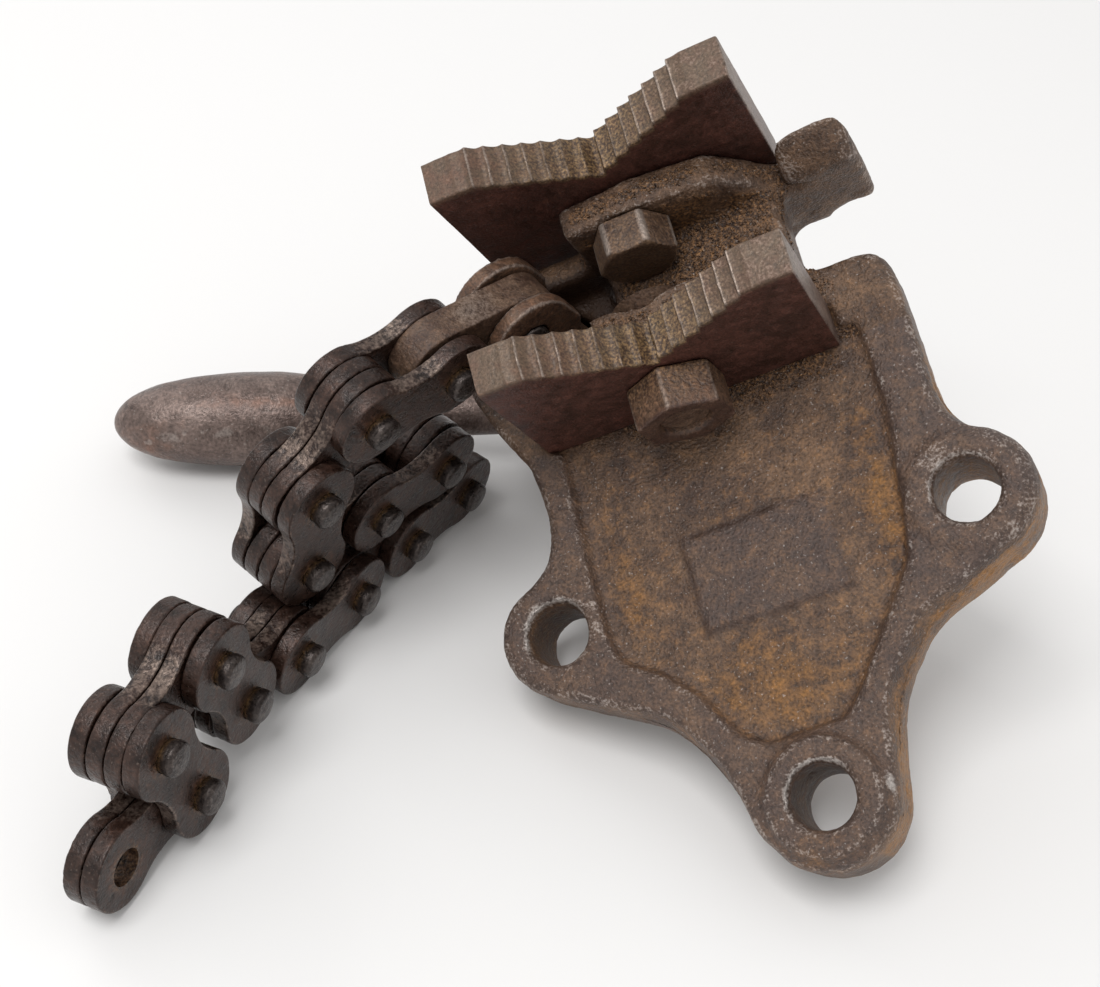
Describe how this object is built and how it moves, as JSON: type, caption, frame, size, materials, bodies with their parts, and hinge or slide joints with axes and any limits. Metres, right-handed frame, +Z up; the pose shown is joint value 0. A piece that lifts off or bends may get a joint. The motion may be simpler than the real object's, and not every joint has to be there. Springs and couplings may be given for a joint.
{
  "type": "bench chain pipe vise",
  "caption": "Bench chain pipe vise: three-eared iron base, two serrated V jaws, leaf chain on a draw bolt and an egg-ended lever nut.",
  "frame": {"origin": "bottom centre of the whole object's bounding box, on the table that it lies on", "axes": "+Z up from the table; +X along the jaws' length as it lies level, away from the chain's end; +Y away from the flange's toe"},
  "size_m": [0.246, 0.1886, 0.1529],
  "materials": {
    "cast_iron": "rough brown rust with dark grime and oily grit",
    "jaw_steel": "smooth maroon-brown patina, worn lighter on the teeth",
    "dark_steel": "dark brown satin patina with fine pits",
    "chain_steel": "dark grey-brown, pitted, rims worn to bright metal"
  },
  "bodies": {
    "base": {"base_casting": "cast_iron", "near_jaw": "jaw_steel", "far_jaw": "jaw_steel", "near_jaw_bolt": "dark_steel", "far_jaw_bolt": "dark_steel", "near_jaw_nut": "dark_steel"},
    "draw_bolt": {"draw_bolt": "dark_steel", "clevis_pin": "dark_steel"},
    "lever": {"lever_nut": "dark_steel"},
    "link_00": {"first_link": "chain_steel"},
    "link_01": {"link_01_far_plate": "chain_steel", "link_01_first_pin": "chain_steel", "link_01_near_plate": "chain_steel", "link_01_second_pin": "chain_steel"},
    "link_02": {"link_02_far_plate": "chain_steel", "link_02_near_plate": "chain_steel"},
    "link_03": {"link_03_far_plate": "chain_steel", "link_03_first_pin": "chain_steel", "link_03_near_plate": "chain_steel", "link_03_second_pin": "chain_steel"},
    "link_04": {"link_04_far_plate": "chain_steel", "link_04_near_plate": "chain_steel"},
    "link_05": {"link_05_far_plate": "chain_steel", "link_05_first_pin": "chain_steel", "link_05_near_plate": "chain_steel", "link_05_second_pin": "chain_steel"},
    "link_06": {"link_06_far_plate": "chain_steel", "link_06_near_plate": "chain_steel"},
    "link_07": {"link_07_far_plate": "chain_steel", "link_07_first_pin": "chain_steel", "link_07_near_plate": "chain_steel", "link_07_second_pin": "chain_steel"},
    "link_08": {"link_08_far_plate": "chain_steel", "link_08_near_plate": "chain_steel"},
    "link_09": {"link_09_far_plate": "chain_steel", "link_09_first_pin": "chain_steel", "link_09_near_plate": "chain_steel", "link_09_second_pin": "chain_steel"},
    "link_10": {"link_10_far_plate": "chain_steel", "link_10_near_plate": "chain_steel"},
    "link_11": {"link_11_far_plate": "chain_steel", "link_11_first_pin": "chain_steel", "link_11_near_plate": "chain_steel", "link_11_second_pin": "chain_steel"},
    "link_12": {"link_12_far_plate": "chain_steel", "link_12_near_plate": "chain_steel"},
    "link_13": {"link_13_far_plate": "chain_steel", "link_13_first_pin": "chain_steel", "link_13_near_plate": "chain_steel", "link_13_second_pin": "chain_steel"},
    "link_14": {"link_14_far_plate": "chain_steel", "link_14_near_plate": "chain_steel"}
  },
  "joints": [
    {"name": "lever_turn", "type": "hinge", "parent": "base", "child": "lever", "pos_m": [0.03413, 0.0773, 0.01686], "axis": [0.4884, 0.455, -0.7446], "range_deg": [0, 124]},
    {"name": "draw_bolt_slide", "type": "slide", "parent": "base", "child": "draw_bolt", "axis": [-0.4884, -0.455, 0.7446], "range_m": [0, 0.00105]},
    {"name": "link_00_hinge", "type": "hinge", "parent": "draw_bolt", "child": "link_00", "pos_m": [-0.00678, 0.03919, 0.07923], "axis": [-0.6007, 0.7816, 0.1684], "range_deg": [0, 45]},
    {"name": "link_01_hinge", "type": "hinge", "parent": "link_00", "child": "link_01", "pos_m": [-0.02716, 0.02372, 0.07834], "axis": [-0.6429, 0.7396, 0.1994], "range_deg": [0, 43]},
    {"name": "link_02_hinge", "type": "hinge", "parent": "link_01", "child": "link_02", "pos_m": [-0.04667, 0.00723, 0.07659], "axis": [-0.6862, 0.7041, 0.1825], "range_deg": [0, 88]},
    {"name": "link_03_hinge", "type": "hinge", "parent": "link_02", "child": "link_03", "pos_m": [-0.06165, -0.00264, 0.05834], "axis": [-0.7272, 0.6663, 0.165], "range_deg": [0, 121]},
    {"name": "link_04_hinge", "type": "hinge", "parent": "link_03", "child": "link_04", "pos_m": [-0.06522, -0.00028, 0.0331], "axis": [0.7341, -0.6553, -0.178], "range_deg": [0, 12]},
    {"name": "link_05_hinge", "type": "hinge", "parent": "link_04", "child": "link_05", "pos_m": [-0.04804, 0.01867, 0.0342], "axis": [0.7408, -0.644, -0.1908], "range_deg": [0, 16]},
    {"name": "link_06_hinge", "type": "hinge", "parent": "link_05", "child": "link_06", "pos_m": [-0.03125, 0.03799, 0.0342], "axis": [0.772, -0.6138, -0.1652], "range_deg": [0, 8]},
    {"name": "link_07_hinge", "type": "hinge", "parent": "link_06", "child": "link_07", "pos_m": [-0.026, 0.05044, 0.01245], "axis": [0.8011, -0.5821, -0.1392], "range_deg": [0, 120]},
    {"name": "link_08_hinge", "type": "hinge", "parent": "link_07", "child": "link_08", "pos_m": [-0.04105, 0.02973, 0.01245], "axis": [0.8229, -0.555, -0.1219], "range_deg": [0, 70]},
    {"name": "link_09_hinge", "type": "hinge", "parent": "link_08", "child": "link_09", "pos_m": [-0.05536, 0.0085, 0.01245], "axis": [0.8434, -0.527, -0.1045], "range_deg": [0, 51]},
    {"name": "link_10_hinge", "type": "hinge", "parent": "link_09", "child": "link_10", "pos_m": [-0.06893, -0.01321, 0.01245], "axis": [0.8664, -0.4951, -0.0655], "range_deg": [0, 80]},
    {"name": "link_11_hinge", "type": "hinge", "parent": "link_10", "child": "link_11", "pos_m": [-0.08094, -0.03501, 0.01841], "axis": [0.8867, -0.4616, -0.0262], "range_deg": [0, 94]},
    {"name": "link_12_hinge", "type": "hinge", "parent": "link_11", "child": "link_12", "pos_m": [-0.08501, -0.04417, 0.04197], "axis": [-0.8909, 0.4539, -0.0175], "range_deg": [0, 150]},
    {"name": "link_13_hinge", "type": "hinge", "parent": "link_12", "child": "link_13", "pos_m": [-0.09627, -0.06648, 0.03643], "axis": [-0.8933, 0.4454, -0.061], "range_deg": [0, 147]},
    {"name": "link_14_hinge", "type": "hinge", "parent": "link_13", "child": "link_14", "pos_m": [-0.09101, -0.05923, 0.01245], "axis": [0.8933, -0.4454, 0.061], "range_deg": [0, 131]}
  ],
  "couplings": [
    {"joint": "draw_bolt_slide", "follows": "lever_turn", "m_per_rad": 0.00047746}
  ]
}
